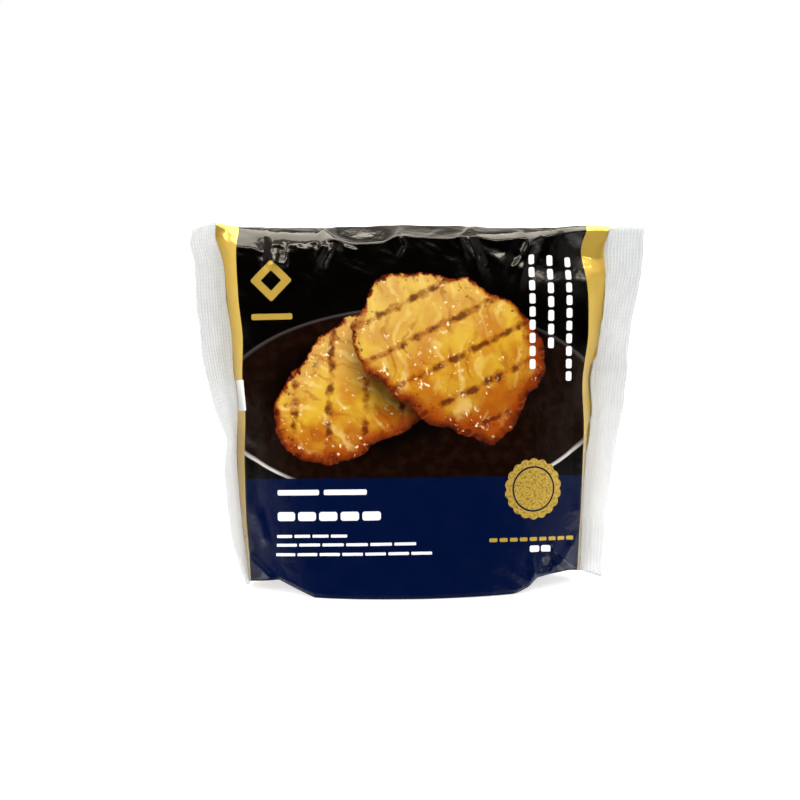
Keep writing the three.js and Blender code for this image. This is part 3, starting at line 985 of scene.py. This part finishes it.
class OnigiriSizes(bpy.types.PropertyGroup):
    """Sizes of the pack."""

    panel_half_width: metres("From a panel's middle to its stripe", 0.0428, 0.03)
    stripe_width: metres("Width of the stripe down each side", 0.0058, 0.003)
    seal_width: metres("Width of each crimped end seal", 0.0092, 0.004)
    height: metres("Height of the pack", round(PACK_BOX[1][2] + 0.00005, 5), 0.05)
    base_depth: metres("Front to back at the foot", 0.0328, 0.02)
    top_depth: metres("Front to back at the roof", 0.0152, 0.008)
    crimp_pitch: metres("From one fine ridge of a seal to the next", 0.00077, 0.0005)
    seam_low: metres("Height of the lap seam's lower edge", 0.039, 0.005)
    seam_high: metres("Height of the lap seam's upper edge", 0.049, 0.01)


class OnigiriColors(bpy.types.PropertyGroup):
    """Colours of the film and its print."""

    ground: rgb("Black ground of the print", 0.0006, 0.0004, 0.0003)
    band: rgb("Navy band round the foot", 0.0006, 0.0037, 0.027)
    gold: rgb("Stripes and gold figures", 0.66, 0.44, 0.075)
    gold_deep: rgb("Darker speckle of the medal", 0.36, 0.22, 0.025)
    gold_light: rgb("Lighter glints of the medal", 0.88, 0.74, 0.4)
    white: rgb("White print", 0.85, 0.85, 0.85)
    plate: rgb("Dark plate in the picture", 0.005, 0.0014, 0.0006)
    plate_light: rgb("Light flecks of the plate", 0.011, 0.004, 0.002)
    plate_rim: rgb("Light on the plate's rim", 0.55, 0.52, 0.5)
    fillet: rgb("Golden flesh of the grilled slices", 0.56, 0.33, 0.024)
    fillet_deep: rgb("Deeper orange of the slices", 0.42, 0.15, 0.007)
    fillet_light: rgb("Pale flakes of the slices", 0.68, 0.49, 0.14)
    fillet_red: rgb("Red-brown shade of the slices", 0.26, 0.042, 0.003)
    grilled: rgb("Browned edges and grill marks", 0.045, 0.006, 0.003)
    gloss: rgb("Wet glints on the slices", 1, 0.8, 0.5)
    seal: rgb("Milky film of the seals", 0.34, 0.362, 0.385)
    seal_shade: rgb("Thinner places of the seals", 0.295, 0.317, 0.34)
    # Painted light: a lighter seal colour near the foot, standing in for light that shines through the film
    # there
    seal_painted_light: rgb("Brighter film of the seals near the foot", 0.46, 0.485, 0.525)
    seal_light: rgb("Pressed ridges of the seals", 0.5, 0.52, 0.54)


class ONIGIRI_OT_film_body(bpy.types.Operator):
    """Add the printed film: both panels, the roof and the tucked base"""

    bl_idname = "onigiri.film_body"
    bl_label = "Film Body"

    def execute(self, context):
        film = Film(context.scene.onigiri_sizes)
        u = np.linspace(-film.edge - OVERLAP, film.edge + OVERLAP, BODY_COLUMNS)
        add_piece("film_body", u, *film_rows(film, u), "printed_film")
        return {"FINISHED"}


class ONIGIRI_OT_end_seals(bpy.types.Operator):
    """Add the crimped end seals, which fold forward"""

    bl_idname = "onigiri.end_seals"
    bl_label = "End Seals"

    def execute(self, context):
        film = Film(context.scene.onigiri_sizes)
        for name, side in (("left_seal", -1), ("right_seal", 1)):
            add_piece(name, *seal_rows(film, side), "seal_film")
        return {"FINISHED"}


class ONIGIRI_OT_lap_seam(bpy.types.Operator):
    """Add the lap seam along the back panel"""

    bl_idname = "onigiri.lap_seam"
    bl_label = "Lap Seam"

    def execute(self, context):
        film = Film(context.scene.onigiri_sizes)
        u = np.linspace(1 - film.panel, film.panel - 1, SEAM_COLUMNS)
        add_piece("lap_seam", u, *seam_rows(film, u), "printed_film")
        return {"FINISHED"}


def add_light(name, place, faces, size, power, color=(1, 1, 1)):
    light = bpy.data.lights.new(name, "AREA")
    light.shape = "RECTANGLE"
    light.size, light.size_y = size
    light.energy = power
    light.color = color
    lamp = bpy.data.objects.new(name, light)
    lamp.location = place
    lamp.rotation_euler = (Vector(faces) - Vector(place)).to_track_quat("-Z", "Y").to_euler()
    bpy.context.scene.collection.objects.link(lamp)
    return lamp


def add_floor():
    """A pale floor that only the camera sees, so that it throws no light of its own on the pack."""
    mesh = bmesh.new()
    bmesh.ops.create_grid(mesh, x_segments=2, y_segments=2, size=1)
    data = bpy.data.meshes.new("floor")
    mesh.to_mesh(data)
    mesh.free()
    floor = bpy.data.objects.new("floor", data)
    bpy.context.scene.collection.objects.link(floor)
    material, n, shader = new_material(
        "Studio floor", Roughness=0.9, Specular_IOR_Level=0.1, Emission_Color=(1, 1, 1, 1))
    mottle = n.noise(n.add("ShaderNodeTexCoord", output=3), 3)
    n.feed(shader["Base Color"], n.blend(mottle, (0.93, 0.93, 0.93, 1), (0.9, 0.9, 0.9, 1)))
    n.feed(shader["Emission Strength"], n.add("ShaderNodeLightPath") * 0.6)
    data.materials.append(material)
    floor.visible_diffuse = floor.visible_glossy = floor.visible_shadow = False


def add_surroundings():
    """White for the camera, and for the pack a dim room with pale walls behind, above and at its sides."""
    world = bpy.data.worlds.new("Studio")
    world.use_nodes = True
    n = Nodes(world.node_tree)
    background = world.node_tree.nodes["Background"].inputs
    x, y, z = n.split(n.add("ShaderNodeTexCoord"))
    above = n.soft_ramp(z, 0.3, 0.8) * n.ramp(y, -0.2, 0.3, 1.2, 0.3)
    behind = n.soft_ramp(y, 0.4, 0.95, 0, 1.1) * n.ramp(z, -0.5, -0.35) * n.ramp(z, 0.25, 0.6, 1, 0.2)
    sides = n.larger(n.soft_ramp(x, -0.55, -0.95, 0, 0.5), n.soft_ramp(x, 0.55, 0.95, 0, 0.3))
    below = n.ramp(abs(x), 0.4, 0.8, 0.15, 2.2) * n.ramp(z, -0.3, -0.5)
    lit = n.larger(n.larger(n.larger(above, behind), sides), below) + 0.005
    tint = n.blend(n.ramp(z, 0, 0.5), (1, 0.98, 0.95, 1), (1, 0.9, 0.76, 1))
    camera_ray = n.add("ShaderNodeLightPath")
    n.feed(background["Color"], n.blend(camera_ray, tint, (1, 1, 1, 1)))
    strength = n.add("ShaderNodeMix", ((0, camera_ray), (2, lit), (3, 1)), data_type="FLOAT")
    n.feed(background["Strength"], strength)
    bpy.context.scene.world = world


def add_camera():
    lens = bpy.data.cameras.new("Camera")
    lens.sensor_width = 36
    lens.lens = lens.sensor_width * CAMERA_DISTANCE / VIEW_WIDTH
    lens.shift_x, lens.shift_y = CAMERA_SHIFT
    lens.clip_start, lens.clip_end = 0.02, 50
    camera = bpy.data.objects.new("Camera", lens)
    turn, tilt = math.radians(CAMERA_TURN), math.radians(CAMERA_TILT)
    away = Vector((math.sin(turn) * math.cos(tilt), -math.cos(turn) * math.cos(tilt), math.sin(tilt)))
    camera.location = Vector(CAMERA_FACES) + CAMERA_DISTANCE * away
    camera.rotation_euler = (-away).to_track_quat("-Z", "Y").to_euler()
    bpy.context.scene.collection.objects.link(camera)
    bpy.context.scene.camera = camera


class ONIGIRI_OT_studio(bpy.types.Operator):
    """Add the floor, lights, surroundings and camera"""

    bl_idname = "onigiri.studio"
    bl_label = "Studio"

    def execute(self, context):
        add_floor()
        for name, settings in SOFT_LIGHTS.items():
            add_light(name, *settings).visible_glossy = False
        for name, settings in GLINTS.items():
            add_light(name, *settings).visible_diffuse = False
        add_surroundings()
        add_camera()
        context.scene.view_settings.view_transform = "Standard"
        return {"FINISHED"}


class ONIGIRI_PT_sidebar(bpy.types.Panel):
    """Lists what the pack is made of"""

    bl_label = "Onigiri Film Pack"
    bl_space_type = "VIEW_3D"
    bl_region_type = "UI"
    bl_category = "Onigiri"

    def draw(self, context):
        layout = self.layout
        for operator in OPERATORS:
            layout.operator(operator.bl_idname)
        scene = context.scene
        for label, settings in (("Sizes", scene.onigiri_sizes), ("Colors", scene.onigiri_colors)):
            box = layout.box()
            box.label(text=label)
            for name in settings.__annotations__:
                box.prop(settings, name, text=name.replace("_", " ").title())


OPERATORS = (ONIGIRI_OT_film_body, ONIGIRI_OT_end_seals, ONIGIRI_OT_lap_seam, ONIGIRI_OT_studio)
CLASSES = (OnigiriSizes, OnigiriColors) + OPERATORS + (ONIGIRI_PT_sidebar,)


def register():
    for item in CLASSES:
        bpy.utils.register_class(item)
    bpy.types.Scene.onigiri_sizes = PointerProperty(type=OnigiriSizes)
    bpy.types.Scene.onigiri_colors = PointerProperty(type=OnigiriColors)


def unregister():
    del bpy.types.Scene.onigiri_colors
    del bpy.types.Scene.onigiri_sizes
    for item in reversed(CLASSES):
        bpy.utils.unregister_class(item)


def main():
    register()
    bpy.ops.onigiri.film_body()
    bpy.ops.onigiri.end_seals()
    bpy.ops.onigiri.lap_seam()
    bpy.ops.onigiri.studio()


if __name__ == "__main__":
    main()
